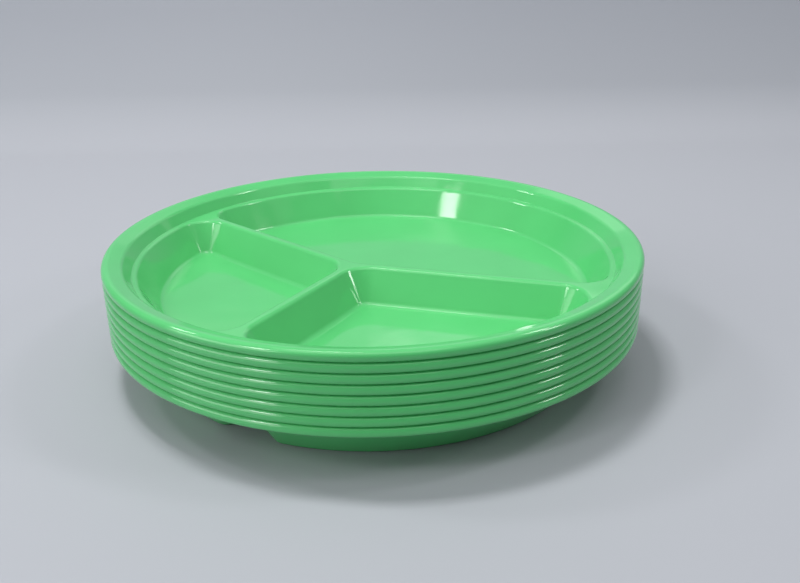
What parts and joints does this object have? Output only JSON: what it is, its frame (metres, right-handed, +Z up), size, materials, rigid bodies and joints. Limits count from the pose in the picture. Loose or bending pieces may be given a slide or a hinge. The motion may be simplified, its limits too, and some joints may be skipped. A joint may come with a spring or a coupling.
{
  "type": "divided compartment plate",
  "caption": "Nested stack of round divided plates in glossy green plastic, each with one large and two small wells.",
  "frame": {"origin": "centre of the underside of the lowest plate, on the surface that the stack stands on", "axes": "+Z up along the axis of the round rims; +Y towards the largest well; +X to the right, towards one of the two small wells; the YZ plane halves every plate"},
  "size_m": [0.254, 0.254, 0.0558],
  "materials": {
    "green_plastic": "gloss"
  },
  "bodies": {
    "plate_1": {"plate_1": "green_plastic"},
    "plate_2": {"plate_2": "green_plastic"},
    "plate_3": {"plate_3": "green_plastic"},
    "plate_4": {"plate_4": "green_plastic"},
    "plate_5": {"plate_5": "green_plastic"},
    "plate_6": {"plate_6": "green_plastic"},
    "plate_7": {"plate_7": "green_plastic"},
    "plate_8": {"plate_8": "green_plastic"}
  },
  "joints": [
    {"name": "lift_2", "type": "slide", "parent": "plate_1", "child": "plate_2", "axis": [0, 0, 1], "range_m": [0, 0.03]},
    {"name": "lift_3", "type": "slide", "parent": "plate_2", "child": "plate_3", "axis": [0, 0, 1], "range_m": [0, 0.03]},
    {"name": "lift_4", "type": "slide", "parent": "plate_3", "child": "plate_4", "axis": [0, 0, 1], "range_m": [0, 0.03]},
    {"name": "lift_5", "type": "slide", "parent": "plate_4", "child": "plate_5", "axis": [0, 0, 1], "range_m": [0, 0.03]},
    {"name": "lift_6", "type": "slide", "parent": "plate_5", "child": "plate_6", "axis": [0, 0, 1], "range_m": [0, 0.03]},
    {"name": "lift_7", "type": "slide", "parent": "plate_6", "child": "plate_7", "axis": [0, 0, 1], "range_m": [0, 0.03]},
    {"name": "lift_8", "type": "slide", "parent": "plate_7", "child": "plate_8", "axis": [0, 0, 1], "range_m": [0, 0.03]}
  ]
}
